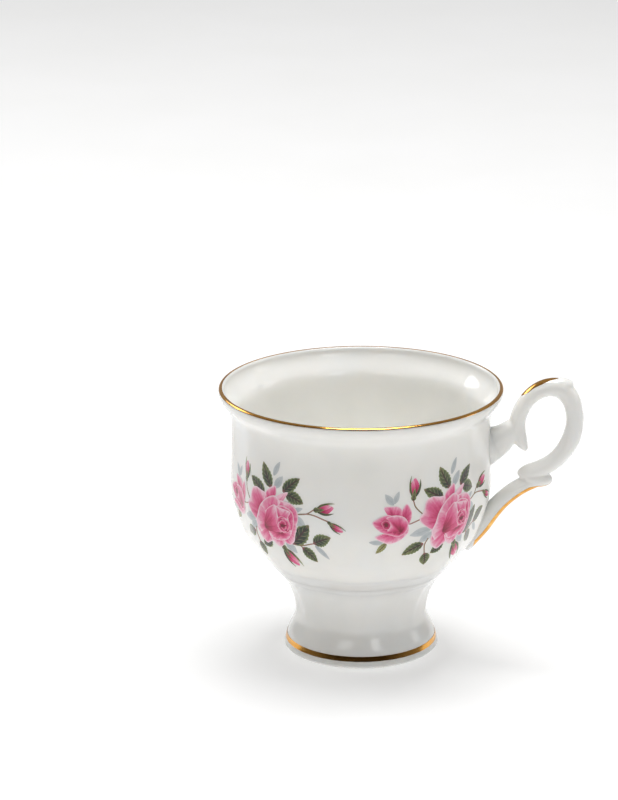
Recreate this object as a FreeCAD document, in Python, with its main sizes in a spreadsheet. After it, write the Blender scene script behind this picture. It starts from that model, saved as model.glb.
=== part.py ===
import FreeCAD, Part
import math
import os

import Sketcher
from FreeCAD import Vector

# A footed bone china teacup, in millimetres. +Z is up, the origin is the centre of the
# base on the cup's axis, and the handle stands out along +X.

os.makedirs("parts", exist_ok=True)
doc = FreeCAD.newDocument("teacup")

# ---------------------------------------------------------------- driving dimensions

DIMENSIONS = [
    ("rim_radius", 42.0, "widest radius of the lip"),
    ("rim_height", 82.0, "height of the lip's top edge"),
    ("lip_round", 0.8, "radius of the lip's rounded edge"),
    ("neck_radius", 38.3, "outer radius of the neck under the lip"),
    ("neck_height", 69.8, "height of the shoulder line where the neck begins"),
    ("belly_radius", 38.6, "outer radius of the belly"),
    ("belly_height", 56.0, "height of the belly's widest point"),
    ("seam_radius", 27.0, "outer radius of the seam between bowl and foot"),
    ("seam_height", 27.9, "height of that seam"),
    ("floor_radius", 8.0, "radius of the flat middle of the bowl's floor"),
    ("floor_height", 24.8, "height of the bowl's floor inside"),
    ("floor_thickness", 2.5, "thickness of the floor"),
    ("wall_thickness", 2.2, "thickness of the bowl's wall"),
    ("waist_radius", 19.7, "outer radius of the foot's waist"),
    ("waist_height", 12.8, "height of the foot's waist"),
    ("base_radius", 23.1, "widest radius of the base"),
    ("foot_wall", 2.4, "thickness of the foot's wall"),
    ("tread_inset", 4.1, "how far the flat tread lies inside the widest radius"),
    ("tread_width", 2.0, "width of the flat ring that the cup stands on"),
    ("slip_gap", 0.4, "thickness of the slip in a joint"),
    ("slip_spread", 0.6, "how far the slip stands out round a handle joint"),
    ("panel_count", 8, "wide panels round the cup"),
    ("facet_depth", 0.95, "depth of the narrow facets between the panels"),
    ("facet_angle", 7.8, "half angle of a narrow facet"),
    ("inner_share", 0.55, "share of the facet's depth that shows inside"),
    ("arm_thickness", 5.2, "thickness of the handle's loop in its own plane"),
    ("arm_width", 5.8, "width of the handle across that plane"),
    ("gilding", 0.08, "thickness given to the gold"),
    ("gold_top", 5.0, "upper edge of the gold band on the foot"),
    ("gold_bottom", 3.6, "lower edge of the gold band on the foot"),
    ("gold_stripe", 4.6, "width of the gold stripes on the handle"),
    ("transfer", 0.1, "thickness given to a rose transfer"),
    ("transfer_half_width", 23.5, "half the width of a rose transfer"),
    ("transfer_half_height", 18.5, "half the height of a rose transfer"),
    ("transfer_height", 50.5, "height of a rose transfer's middle"),
]

sheet = doc.addObject("Spreadsheet::Sheet", "Dims")
for row, (alias, value, note) in enumerate(DIMENSIONS, start=1):
    sheet.set(f"A{row}", note)
    sheet.set(f"B{row}", str(value))
    sheet.setAlias(f"B{row}", alias)
doc.recompute()


def dim(alias):
    """A driving dimension's value, read from the sheet."""
    return float(sheet.get(alias))


FACE_STEPS = 8  # surface poles round each panel
END_CLEARANCE = 0.03  # gap kept between a thin layer and what it lies on
RIM_GOLD_FROM, RIM_GOLD_TO = 28, 105  # the arc of the lip under the gold, up from its outer side
# Each rose transfer's name and the direction it faces, from the handle's direction.
TRANSFERS = [("front_right", -45), ("front_left", -130), ("back_left", 135), ("back_right", 45)]

# ---------------------------------------------------------------- profiles in the XZ plane


def at(radius, height):
    return Vector(radius, 0, height)


def spline(points, start=None, end=None):
    """A smooth curve through the points, with its end directions, of unit length, if given."""
    curve = Part.BSplineCurve()
    if start and end:
        curve.interpolate(Points=points, InitialTangent=start, FinalTangent=end, Scale=False)
    else:
        curve.interpolate(Points=points)
    return curve


def outside_points():
    """The bowl's outer profile, from the flat of its underside to the side of its lip."""
    underside = dim("floor_height") - dim("floor_thickness")
    seam = at(dim("seam_radius"), dim("seam_height"))
    neck = at(dim("neck_radius"), dim("neck_height"))
    lip_side = at(dim("rim_radius"), dim("rim_height") - dim("lip_round"))
    return [
        at(dim("floor_radius"), underside),
        at(0.66 * dim("seam_radius"), underside + 1.2),
        seam,
        seam + at(3.9, 4.4),
        seam + at(7.6, 9.8),
        seam + at(10.0, 16.2),
        at(dim("belly_radius") - 0.2, dim("belly_height") - 6.6),
        at(dim("belly_radius"), dim("belly_height")),
        neck + at(0.12, -6.0),
        neck,
        neck + at(0.3, 4.0),
        lip_side - at(2.75, 5.0),
        lip_side - at(1.35, 3.2),
        lip_side - at(0.3, 1.5),
        lip_side,
    ]


def outside_curve(grown=0.0):
    """The outer profile, moved out along its own normals by the distance grown."""
    curve = spline(outside_points(), Vector(1, 0, 0), Vector(0, 0, 1))
    if not grown:
        return curve
    moved = []
    for point in outside_points():
        heading = curve.tangent(curve.parameter(point))[0]
        moved.append(point + Vector(heading.z, 0, -heading.x) * grown)
    return spline(moved, Vector(1, 0, 0), Vector(0, 0, 1))


def inside_curve():
    """The bowl's inner profile, from the lip down to the flat of the floor."""
    wall = dim("wall_thickness")
    seam = at(dim("seam_radius"), dim("seam_height"))
    neck = at(dim("neck_radius") - wall, dim("neck_height"))
    lip_inside = at(dim("rim_radius") - 2 * dim("lip_round"), dim("rim_height") - dim("lip_round"))
    return spline(
        [
            lip_inside,
            lip_inside - at(0.55, 1.9),
            lip_inside - at(2.1, 4.1),
            neck + at(0.75, 5.2),
            neck + at(0.05, 1.0),
            neck + at(0.1, -6.5),
            at(dim("belly_radius") - wall, dim("belly_height") - 1.5),
            seam + at(7.5, 16.4),
            seam + at(4.3, 9.6),
            seam + at(-0.9, 4.0),
            at(0.62 * dim("seam_radius"), dim("floor_height") + 1.9),
            at(dim("floor_radius"), dim("floor_height")),
        ],
        Vector(0, 0, -1),
        Vector(-1, 0, 0),
    )


# ---------------------------------------------------------------- panelled surfaces


def facet_depth_at(radius, height):
    """Depth of the narrow facets: full on the wall, none at the lip and at the base."""
    lip_end = dim("rim_height") - 2.5
    lip_fade = min(1.0, max(0.0, (lip_end - height) / (lip_end - dim("neck_height"))))
    base_end = FLARE_TOP + 0.7
    base_fade = min(1.0, max(0.0, (height - base_end) / (dim("waist_height") - base_end)))
    smooth = lip_fade * lip_fade * (3 - 2 * lip_fade) * base_fade * base_fade * (3 - 2 * base_fade)
    return dim("facet_depth") * smooth * radius / dim("belly_radius")


def panelled_face(curve, share=1.0):
    """The profile carried round the axis, dipping into the narrow facets between the panels."""
    panels = int(dim("panel_count"))
    around = panels * FACE_STEPS
    step = 2 * math.pi / around
    rounding = (2 + math.cos(step)) / 3  # a spline ring lies this much inside its poles
    poles, weights = curve.getPoles(), curve.getWeights()
    rings = []
    for index in range(around):
        from_facet = (index % FACE_STEPS) * 360 / around
        from_facet = min(from_facet, 360 / panels - from_facet)
        dip = math.exp(-((from_facet / dim("facet_angle")) ** 4))
        turn = (index + FACE_STEPS / 2) * step
        ring = []
        for pole in poles:
            radius = (pole.x - share * dip * facet_depth_at(pole.x, pole.z)) / rounding
            ring.append(Vector(radius * math.cos(turn), radius * math.sin(turn), pole.z))
        rings.append(ring)
    surface = Part.BSplineSurface()
    surface.buildFromPolesMultsKnots(
        rings,
        [1] * (around + 1),
        curve.getMultiplicities(),
        list(range(around + 1)),
        curve.getKnots(),
        True,
        False,
        3,
        curve.Degree,
        [weights] * around,
    )
    return surface.toShape()


def disc(curve, at_end, share=1.0):
    """The flat face that closes a panelled face at the start or the end of its profile."""
    surface = panelled_face(curve, share).Surface
    level = surface.bounds()[3] if at_end else surface.bounds()[2]
    return Part.Face(Part.Wire(surface.vIso(level).toShape()))


def flat_ring(outer, inner):
    """The flat face from the end of one panelled face to the start of another inside it."""
    outline = Part.Wire(outer.Surface.vIso(outer.Surface.bounds()[3]).toShape())
    hole = Part.Wire(inner.Surface.vIso(inner.Surface.bounds()[2]).toShape())
    return Part.makeFace([outline, hole], "Part::FaceMakerBullseye")


def solid_of(faces):
    """One solid from the faces that enclose it."""
    solid = Part.Solid(Part.Shell(faces))
    if solid.Volume < 0:
        solid.reverse()
    return solid


def line(start, end):
    return Part.LineSegment(start, end).toBSpline()


def arc(start, middle, end):
    shape = Part.Arc(start, middle, end)
    return shape.toBSpline(shape.FirstParameter, shape.LastParameter)


def feature(label, shape):
    """A sub-part whose shape comes from the sheet through the functions above."""
    made = doc.addObject("Part::Feature", label)
    made.Label = label
    made.Shape = shape
    made.Placement = FreeCAD.Placement()
    return made


def boolean(kind, label, base, tool):
    """A cut or a common of two document objects."""
    made = doc.addObject(kind, label)
    made.Label = label
    made.Base = base
    made.Tool = tool
    made.Refine = False
    return made


def bowl_block(grown):
    """The bowl's outer form filled in, used to trim what is fastened to the wall."""
    side = outside_curve(grown)
    return solid_of([panelled_face(side), disc(side, False), disc(side, True)])


# ---------------------------------------------------------------- the bowl


def make_bowl():
    outside, inside = outside_curve(), inside_curve()
    lip_middle = dim("rim_radius") - dim("lip_round")
    lip = arc(
        outside.EndPoint,
        at(lip_middle, dim("rim_height")),
        inside.StartPoint,
    )
    share = dim("inner_share")
    faces = [
        panelled_face(outside),
        panelled_face(lip),
        panelled_face(inside, share),
        disc(outside, False),
        disc(inside, True, share),
    ]
    return feature("bowl", solid_of(faces))


# ---------------------------------------------------------------- the foot and its joint

FLARE_TOP = 5.8  # height where the foot's flare turns straight, above the gold band
FLARE_FOOT = 3.1  # height where that straight stretch ends
FLARE_SLOPE = 0.31  # how far the straight stretch leans out for each millimetre down


def flare_radius(height):
    """Radius of the straight stretch of the flare, which carries the gold band."""
    return dim("base_radius") - 0.3 - FLARE_SLOPE * (height - FLARE_FOOT)


def underside_point(share):
    """A point of the bowl's underside: share 0 is the seam, 1 is the foot's inner edge."""
    seam = at(dim("seam_radius"), dim("seam_height"))
    return seam + at(-4.2, -2.75) * share


def make_foot():
    gap = at(0, -dim("slip_gap"))
    wall = dim("foot_wall")
    base = dim("base_radius")
    tread = base - dim("tread_inset")
    outer_top = underside_point(0.0) + gap
    inner_top = underside_point(1.0) + gap
    flare_top = at(flare_radius(FLARE_TOP), FLARE_TOP)
    flare_foot = at(flare_radius(FLARE_FOOT), FLARE_FOOT)
    waist = at(dim("waist_radius"), dim("waist_height"))
    lean = Vector(FLARE_SLOPE, 0, -1).normalize()
    outside = spline(
        [
            outer_top,
            outer_top + at(-3.4, -3.7),
            waist + at(1.25, 6.2),
            waist + at(0.1, 2.0),
            waist + at(0.2, -2.4),
            flare_top,
        ],
        Vector(-0.7, 0, -0.7),
        lean,
    )
    edge = spline(
        [flare_foot, at(base, 2.1), at(base - 0.9, 1.35), at(base - 2.5, 0.6), at(tread, 0)],
        lean,
        Vector(-0.93, 0, -0.37),
    )
    inner_edge = at(tread - dim("tread_width"), 0)
    inside = spline(
        [
            inner_edge,
            inner_edge + at(0.15, 1.4),
            at(flare_radius(FLARE_TOP) - 2 * wall + 0.4, FLARE_TOP),
            waist + at(-wall, -1.4),
            waist + at(-wall, 1.8),
            waist + at(-wall + 0.9, 6.4),
            inner_top,
        ],
        Vector(0, 0, 1),
        Vector(0.7, 0, 0.6),
    )
    faces = [
        panelled_face(outside),
        panelled_face(line(flare_top, flare_foot)),
        panelled_face(edge),
        flat_ring(panelled_face(edge), panelled_face(inside)),
        panelled_face(inside),
        panelled_face(line(inner_top, outer_top)),
    ]
    return feature("foot", solid_of(faces))


def make_foot_slip_joint():
    """The ring of slip between the foot's top and the bowl, a hair inside both outlines."""
    lift = at(0, -END_CLEARANCE)
    drop = at(0, END_CLEARANCE - dim("slip_gap"))
    outer = underside_point(0.05)
    inner = underside_point(1.0)
    corners = [outer + lift, outer + drop, inner + drop, inner + lift]
    faces = [panelled_face(line(a, b)) for a, b in zip(corners, corners[1:] + corners[:1])]
    ring = feature("foot_slip_ring", solid_of(faces))
    block = feature("bowl_block", bowl_block(END_CLEARANCE))
    return boolean("Part::Cut", "foot_slip_joint", ring, block)


# ---------------------------------------------------------------- the handle

SECTION_POINTS = 12  # points round each cross section of a limb

# Each limb of the handle is a run of oval sections. A section has the place of its middle,
# and its thickness and width as shares of arm_thickness and arm_width.
UPPER_ARM = [
    (36.8, 64.4, 2.40, 1.34),
    (38.8, 64.8, 2.14, 1.24),
    (40.7, 65.7, 1.80, 1.10),
    (42.7, 67.2, 1.46, 1.00),
    (44.8, 69.2, 1.18, 0.94),
    (46.4, 71.2, 0.88, 0.86),
]
LOOP = [
    (49.0, 62.5, 0.16, 0.20),
    (48.5, 63.4, 0.42, 0.50),
    (47.3, 65.6, 0.76, 0.80),
    (46.3, 69.0, 0.92, 0.94),
    (46.5, 72.8, 0.91, 1.00),
    (48.4, 77.2, 0.89, 1.00),
    (51.5, 80.5, 0.94, 1.00),
    (55.2, 82.1, 1.02, 1.00),
    (58.9, 81.7, 1.12, 1.00),
    (61.6, 78.9, 1.06, 1.00),
    (62.9, 74.9, 1.00, 1.00),
    (63.1, 71.0, 1.00, 1.00),
    (62.2, 66.6, 1.04, 1.00),
    (60.0, 62.4, 1.00, 1.00),
    (56.8, 59.0, 0.96, 1.00),
    (52.7, 56.7, 0.95, 1.02),
    (49.6, 55.9, 0.84, 0.98),
    (47.4, 55.4, 0.52, 0.70),
    (46.5, 55.2, 0.20, 0.30),
]
KNUCKLE = [
    (56.4, 81.8, 0.90, 0.80),
    (59.0, 82.4, 1.06, 0.90),
    (61.0, 83.0, 0.76, 0.72),
    (62.1, 83.5, 0.36, 0.40),
    (62.5, 83.7, 0.12, 0.16),
]
COLLAR = [
    (47.4, 54.9, 0.44, 0.60),
    (49.5, 54.4, 0.86, 0.92),
    (52.4, 53.9, 0.98, 1.02),
    (54.8, 53.7, 0.80, 0.92),
    (56.2, 53.6, 0.48, 0.60),
    (56.9, 53.6, 0.18, 0.24),
]
LOWER_ARM = [
    (53.4, 53.4, 0.62, 0.80),
    (51.2, 53.0, 0.84, 0.92),
    (49.1, 52.2, 0.90, 0.96),
    (46.3, 50.6, 0.93, 0.98),
    (43.5, 48.4, 0.95, 0.98),
    (41.0, 46.0, 0.98, 1.00),
    (38.5, 42.9, 1.02, 1.04),
    (36.2, 39.7, 1.08, 1.08),
    (34.0, 37.3, 1.16, 1.14),
    (31.6, 34.9, 1.24, 1.20),
]


def limb(stations, extra=0.0):
    """A solid through a limb's sections, each square to the line of their middles."""
    middles = spline([at(x, z) for x, z, thick, wide in stations])
    wires = []
    for x, z, thick, wide in stations:
        middle = at(x, z)
        heading = middles.tangent(middles.parameter(middle))[0]
        across = Vector(-heading.z, 0, heading.x)
        half_thick = thick * dim("arm_thickness") / 2 + extra
        half_wide = wide * dim("arm_width") / 2 + extra
        points = []
        for index in range(SECTION_POINTS):
            turn = 2 * math.pi * index / SECTION_POINTS
            offset = across * (half_thick * math.cos(turn))
            points.append(middle + offset + Vector(0, half_wide * math.sin(turn), 0))
        outline = Part.BSplineCurve()
        outline.interpolate(Points=points, PeriodicFlag=True)
        wires.append(Part.Wire(outline.toShape()))
    return Part.makeLoft(wires, True, False)


def make_handle():
    limbs = [
        feature("upper_arm_limb", limb(UPPER_ARM)),
        feature("loop_limb", limb(LOOP)),
        feature("knuckle_limb", limb(KNUCKLE)),
        feature("collar_limb", limb(COLLAR)),
        feature("lower_arm_limb", limb(LOWER_ARM)),
    ]
    casting = doc.addObject("Part::MultiFuse", "handle_casting")
    casting.Shapes = limbs
    standoff = feature("handle_standoff", bowl_block(dim("slip_gap")))
    return boolean("Part::Cut", "handle", casting, standoff)


def make_handle_slip_joint(label, stations):
    """The slip between one end of the handle and the wall, standing out a little all round."""
    arm = feature(f"{label}_arm", limb(stations, dim("slip_spread")))
    outer = feature(f"{label}_outer", bowl_block(dim("slip_gap") - END_CLEARANCE))
    wall = feature(f"{label}_wall", bowl_block(END_CLEARANCE))
    layer = boolean("Part::Common", f"{label}_layer", arm, outer)
    return boolean("Part::Cut", label, layer, wall)


def make_handle_gilding(label, stations, outline, casting):
    """A gold stripe: the skin of a limb, inside an outline seen square to the handle."""
    skin = feature(f"{label}_skin", limb(stations, dim("gilding")))
    half = dim("gold_stripe") / 2
    face = Part.Face(Part.makePolygon([Vector(x, -half, z) for x, z in outline + outline[:1]]))
    region = feature(f"{label}_region", face.extrude(Vector(0, 2 * half, 0)))
    stripe = boolean("Part::Common", f"{label}_stripe", skin, region)
    return boolean("Part::Cut", label, stripe, casting)


# The outlines run along the handle's outer side and close inside the limb.
UPPER_STRIPE = [(46.6, 79.8), (51.0, 86.5), (57.4, 86.5), (57.0, 83.6), (52.2, 81.6), (48.9, 78.3)]
LOWER_STRIPE = [
    (55.0, 50.2),
    (48.0, 46.0),
    (41.0, 38.0),
    (35.5, 31.0),
    (32.5, 31.8),
    (33.2, 34.2),
    (37.2, 39.2),
    (41.6, 44.6),
    (46.8, 49.8),
    (53.0, 52.2),
]


# ---------------------------------------------------------------- gilding of revolution


RING_PARTS = 8  # equal parts that a gold ring is turned in, one to a panel


def start_section(label):
    """A body with an empty sketch on its own XZ plane."""
    body = doc.addObject("PartDesign::Body", label)
    body.Label = label
    plane = [item for item in body.Origin.OriginFeatures if item.Role == "XZ_Plane"][0]
    sketch = body.newObject("Sketcher::SketchObject", f"{label}_section")
    sketch.AttachmentSupport = [(plane, "")]
    sketch.MapMode = "FlatFace"
    return body, sketch


def place(sketch, geometry, point, radius, height):
    """Ties a point of the sketch to a radius and a height, both formulas of the sheet."""
    for kind, formula in (("DistanceX", radius), ("DistanceY", height)):
        index = sketch.addConstraint(Sketcher.Constraint(kind, -1, 1, geometry, point, 10.0))
        sketch.setExpression(f"Constraints[{index}]", formula)


def bind_radius(sketch, geometry, formula):
    index = sketch.addConstraint(Sketcher.Constraint("Radius", geometry, 1.0))
    sketch.setExpression(f"Constraints[{index}]", formula)


def turn_section(body, sketch):
    """Turns the section an eighth round the cup's axis and repeats that eighth to a ring."""
    doc.recompute()
    eighth = body.newObject("PartDesign::Revolution", f"{body.Label}_eighth")
    eighth.Profile = sketch
    eighth.ReferenceAxis = (sketch, ["V_Axis"])
    eighth.Angle = 360 / RING_PARTS
    eighth.Refine = False
    doc.recompute()
    ring = body.newObject("PartDesign::PolarPattern", f"{body.Label}_ring")
    ring.Originals = [eighth]
    ring.Axis = (sketch, ["V_Axis"])
    ring.Angle = 360
    ring.Occurrences = RING_PARTS
    ring.Refine = False
    body.Tip = ring
    return body


def make_foot_gilding():
    """A thin band lying on the straight stretch of the foot's flare."""
    body, sketch = start_section("foot_gilding")
    corners = []
    for height, other in (("gold_bottom", "0"), ("gold_top", "0"), ("gold_top", "1"), ("gold_bottom", "1")):
        on_flare = f"Dims.base_radius - 0.3 - {FLARE_SLOPE} * (Dims.{height} - {FLARE_FOOT})"
        corners.append((f"{on_flare} + {other} * Dims.gilding", f"Dims.{height}"))
    rough = [Vector(flare_radius(z), z, 0) + Vector(out, 0, 0) for z, out in ((3, 0), (5, 0), (5, 1), (3, 1))]
    for start, end in zip(rough, rough[1:] + rough[:1]):
        sketch.addGeometry(Part.LineSegment(start, end), False)
    for index in range(len(rough)):
        following = (index + 1) % len(rough)
        sketch.addConstraint(Sketcher.Constraint("Coincident", index, 2, following, 1))
    for index, (radius, height) in enumerate(corners):
        place(sketch, index, 1, radius, height)
    return turn_section(body, sketch)


def make_rim_gilding():
    """A curled band over the lip's rounded edge, from its outer side to past its top."""
    body, sketch = start_section("rim_gilding")
    middle = Vector(dim("rim_radius") - dim("lip_round"), dim("rim_height") - dim("lip_round"), 0)
    upright = Vector(0, 0, 1)
    begin, end = math.radians(RIM_GOLD_FROM), math.radians(RIM_GOLD_TO)
    for radius in (dim("lip_round"), dim("lip_round") + dim("gilding")):
        circle = Part.Circle(middle, upright, radius)
        sketch.addGeometry(Part.ArcOfCircle(circle, begin, end), False)
    inner, outer = sketch.Geometry
    sketch.addGeometry(Part.LineSegment(inner.StartPoint, outer.StartPoint), False)
    sketch.addGeometry(Part.LineSegment(inner.EndPoint, outer.EndPoint), False)
    for line_index, tip in ((2, 1), (3, 2)):
        sketch.addConstraint(Sketcher.Constraint("Coincident", line_index, 1, 0, tip))
        sketch.addConstraint(Sketcher.Constraint("Coincident", line_index, 2, 1, tip))
        sketch.addConstraint(Sketcher.Constraint("PointOnObject", 0, 3, line_index))
    sketch.addConstraint(Sketcher.Constraint("Coincident", 0, 3, 1, 3))
    sketch.addConstraint(Sketcher.Constraint("Angle", 2, begin))
    sketch.addConstraint(Sketcher.Constraint("Angle", 2, 1, 3, 1, end - begin))
    place(sketch, 0, 3, "Dims.rim_radius - Dims.lip_round", "Dims.rim_height - Dims.lip_round")
    bind_radius(sketch, 0, "Dims.lip_round")
    bind_radius(sketch, 1, "Dims.lip_round + Dims.gilding")
    return turn_section(body, sketch)


# ---------------------------------------------------------------- rose transfers


def make_transfer(label, azimuth, skin):
    """A thin oval patch of the wall's skin, facing the given direction from the axis."""
    turn = math.radians(azimuth)
    outward = Vector(math.cos(turn), math.sin(turn), 0)
    sideways = Vector(-math.sin(turn), math.cos(turn), 0)
    outline = doc.addObject("Part::Ellipse", f"{label}_outline")
    facing = FreeCAD.Rotation(sideways, Vector(0, 0, 1), outward, "XYZ")
    outline.Placement = FreeCAD.Placement(outward * (dim("belly_radius") / 4), facing)
    outline.setExpression("Placement.Base.z", "Dims.transfer_height")
    outline.setExpression("MajorRadius", "Dims.transfer_half_width")
    outline.setExpression("MinorRadius", "Dims.transfer_half_height")
    prism = doc.addObject("Part::Extrusion", f"{label}_prism")
    prism.Base = outline
    prism.DirMode = "Custom"
    prism.Dir = outward
    prism.Solid = True
    prism.setExpression("LengthFwd", "Dims.belly_radius")
    return boolean("Part::Common", label, skin, prism)


# ---------------------------------------------------------------- the assembly

handle = make_handle()
transfer_skin = boolean(
    "Part::Cut",
    "transfer_skin",
    feature("transfer_outer", bowl_block(dim("transfer") + END_CLEARANCE)),
    feature("transfer_inner", bowl_block(END_CLEARANCE)),
)
subparts = [
    make_bowl(),
    make_foot(),
    make_foot_slip_joint(),
    handle,
    make_handle_slip_joint("handle_upper_slip_joint", UPPER_ARM),
    make_handle_slip_joint("handle_lower_slip_joint", LOWER_ARM),
    make_handle_gilding("handle_upper_gilding", LOOP, UPPER_STRIPE, handle),
    make_handle_gilding("handle_lower_gilding", LOWER_ARM, LOWER_STRIPE, handle),
    make_rim_gilding(),
    make_foot_gilding(),
]
for name, azimuth in TRANSFERS:
    subparts.append(make_transfer(f"rose_transfer_{name}", azimuth, transfer_skin))
doc.recompute()

for item in doc.Objects:
    if "Invalid" in item.State or "Error" in item.State:
        raise RuntimeError(f"{item.Label} failed: {item.State} {item.getStatusString()}")
for part in subparts:
    if part.Shape.isNull() or not part.Shape.isValid() or part.Shape.Volume <= 0:
        raise RuntimeError(f"{part.Label} has no valid solid")
for part in subparts:
    box = part.Shape.BoundBox
    print(
        f"{part.Label}: {part.Shape.Volume:.1f} mm3, {len(part.Shape.Solids)} solid(s),",
        f"x {box.XMin:.1f}..{box.XMax:.1f},",
        f"y {box.YMin:.1f}..{box.YMax:.1f},",
        f"z {box.ZMin:.1f}..{box.ZMax:.1f}",
    )
    part.Shape.exportStep(f"parts/{part.Label}.step")
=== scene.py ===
import math

import bmesh
import bpy
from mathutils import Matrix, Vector
from mathutils.bvhtree import BVHTree


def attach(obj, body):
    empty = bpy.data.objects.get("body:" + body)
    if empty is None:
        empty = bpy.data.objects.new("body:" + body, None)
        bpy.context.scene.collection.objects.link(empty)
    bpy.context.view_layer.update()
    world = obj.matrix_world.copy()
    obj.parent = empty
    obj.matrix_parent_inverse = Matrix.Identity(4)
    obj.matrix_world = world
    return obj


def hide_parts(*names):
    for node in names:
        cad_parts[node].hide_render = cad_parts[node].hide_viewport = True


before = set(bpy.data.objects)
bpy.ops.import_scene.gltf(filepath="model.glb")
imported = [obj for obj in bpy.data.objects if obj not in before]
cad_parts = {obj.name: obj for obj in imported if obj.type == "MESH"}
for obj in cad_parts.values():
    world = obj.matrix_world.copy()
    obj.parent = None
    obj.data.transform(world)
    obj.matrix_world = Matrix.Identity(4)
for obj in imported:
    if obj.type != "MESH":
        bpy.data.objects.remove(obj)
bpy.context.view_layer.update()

MM = 0.001
ROOT = "root"
SHARP_ANGLE = math.radians(50)  # edges sharper than this stay sharp
RAY_START = 0.08  # distance from the axis, outside the bowl and foot, at which rays towards it start

# The cup stands on the floor with its axis on Z and its handle towards +X. Lengths in the
# outlines are millimetres.


# ---------------------------------------------------------------- small helpers


def mix(a, b, share):
    return a + (b - a) * share


def colour(red, green, blue):
    """A screen colour, 0 to 255, as the linear colour that shaders use."""
    linear = []
    for channel in (red, green, blue):
        part = channel / 255
        linear.append(part / 12.92 if part <= 0.04045 else ((part + 0.055) / 1.055) ** 2.4)
    return (*linear, 1.0)


def curve_through(points, steps):
    """Points spaced along a smooth curve through the given ones (Catmull-Rom)."""
    padded = [points[0] * 2 - points[1], *points, points[-1] * 2 - points[-2]]
    spans = len(points) - 1
    made = []
    for index in range(steps + 1):
        place = index / steps * spans
        span = min(int(place), spans - 1)
        t = place - span
        a, b, c, d = padded[span : span + 4]
        made.append(
            0.5 * (b * 2 + (c - a) * t + (a * 2 - b * 5 + c * 4 - d) * t * t + (b * 3 - a - c * 3 + d) * t**3)
        )
    return made


def surface_tree(mesh):
    """A mesh's surface, ready for rays and nearest points."""
    return BVHTree.FromPolygons(
        [vertex.co for vertex in mesh.vertices], [face.vertices for face in mesh.polygons]
    )


def close_mesh(work, mesh):
    """Writes a closed surface to the mesh: normals outward, smooth between its sharp edges."""
    bmesh.ops.recalc_face_normals(work, faces=work.faces)
    work.to_mesh(mesh)
    work.free()
    mesh.shade_smooth()
    mesh.set_sharp_from_angle(angle=SHARP_ANGLE)


def new_object(name, mesh, material):
    mesh.materials.append(material)
    piece = bpy.data.objects.new(name, mesh)
    bpy.context.scene.collection.objects.link(piece)
    return piece


# ---------------------------------------------------------------- material building blocks


class Nodes:
    """A material's node tree, with short calls for the nodes used here."""

    def __init__(self, name):
        self.material = bpy.data.materials.new(name)
        self.material.use_nodes = True
        self.tree = self.material.node_tree
        self.shader = self.tree.nodes["Principled BSDF"]

    def add(self, kind, **settings):
        node = self.tree.nodes.new(kind)
        for key, value in settings.items():
            setattr(node, key, value)
        return node

    def link(self, source, target):
        self.tree.links.new(source, target)

    def put(self, socket, value):
        if hasattr(value, "is_output"):
            self.link(value, socket)
        else:
            socket.default_value = value

    def attribute(self, name):
        return self.add("ShaderNodeAttribute", attribute_name=name).outputs["Fac"]

    def place(self):
        return self.add("ShaderNodeTexCoord").outputs["Object"]

    def math(self, operation, *values):
        node = self.add("ShaderNodeMath", operation=operation)
        for socket, value in zip(node.inputs, values):
            self.put(socket, value)
        return node.outputs[0]

    def noise(self, scale, detail=3.0, roughness=0.5, where=None, stretch=None):
        node = self.add("ShaderNodeTexNoise")
        node.inputs["Scale"].default_value = scale
        node.inputs["Detail"].default_value = detail
        node.inputs["Roughness"].default_value = roughness
        source = where or self.place()
        if stretch:
            mapping = self.add("ShaderNodeMapping")
            mapping.inputs["Scale"].default_value = stretch
            self.link(source, mapping.inputs["Vector"])
            source = mapping.outputs["Vector"]
        self.link(source, node.inputs["Vector"])
        return node.outputs["Fac"]

    def range(self, value, low, high, new_low=0.0, new_high=1.0, smooth=False):
        node = self.add("ShaderNodeMapRange", clamp=True)
        if smooth:
            node.interpolation_type = "SMOOTHSTEP"
        ends = {"From Min": low, "From Max": high, "To Min": new_low, "To Max": new_high}
        for key, number in ends.items():
            node.inputs[key].default_value = number
        self.put(node.inputs["Value"], value)
        return node.outputs["Result"]

    def ramp(self, value, stops):
        node = self.add("ShaderNodeValToRGB")
        elements = node.color_ramp.elements
        while len(elements) < len(stops):
            elements.new(0.5)
        for element, (place, shade) in zip(elements, stops):
            element.position = place
            element.color = shade
        self.put(node.inputs["Fac"], value)
        return node.outputs["Color"]

    def blend(self, share, first, second):
        node = self.add("ShaderNodeMix", data_type="RGBA")
        self.put(node.inputs["Factor"], share)
        self.put(node.inputs["A"], first)
        self.put(node.inputs["B"], second)
        return node.outputs["Result"]

    def bump(self, height, strength, distance):
        node = self.add("ShaderNodeBump")
        node.inputs["Strength"].default_value = strength
        node.inputs["Distance"].default_value = distance
        self.link(height, node.inputs["Height"])
        self.link(node.outputs["Normal"], self.shader.inputs["Normal"])


CHINA_ROUGHNESS = 0.09
PRINT_ROUGHNESS = 0.12


def glaze(nodes, roughness):
    """The clear glaze over china and print: even, with a faint ripple in its surface."""
    ripple = nodes.noise(90, 2.0, 0.5)
    gloss = nodes.range(ripple, 0.3, 0.7, roughness - 0.02, roughness + 0.03)
    nodes.put(nodes.shader.inputs["Roughness"], gloss)
    nodes.bump(ripple, 0.05, 0.0004)
    nodes.shader.inputs["IOR"].default_value = 1.5


# ---------------------------------------------------------------- materials


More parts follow.
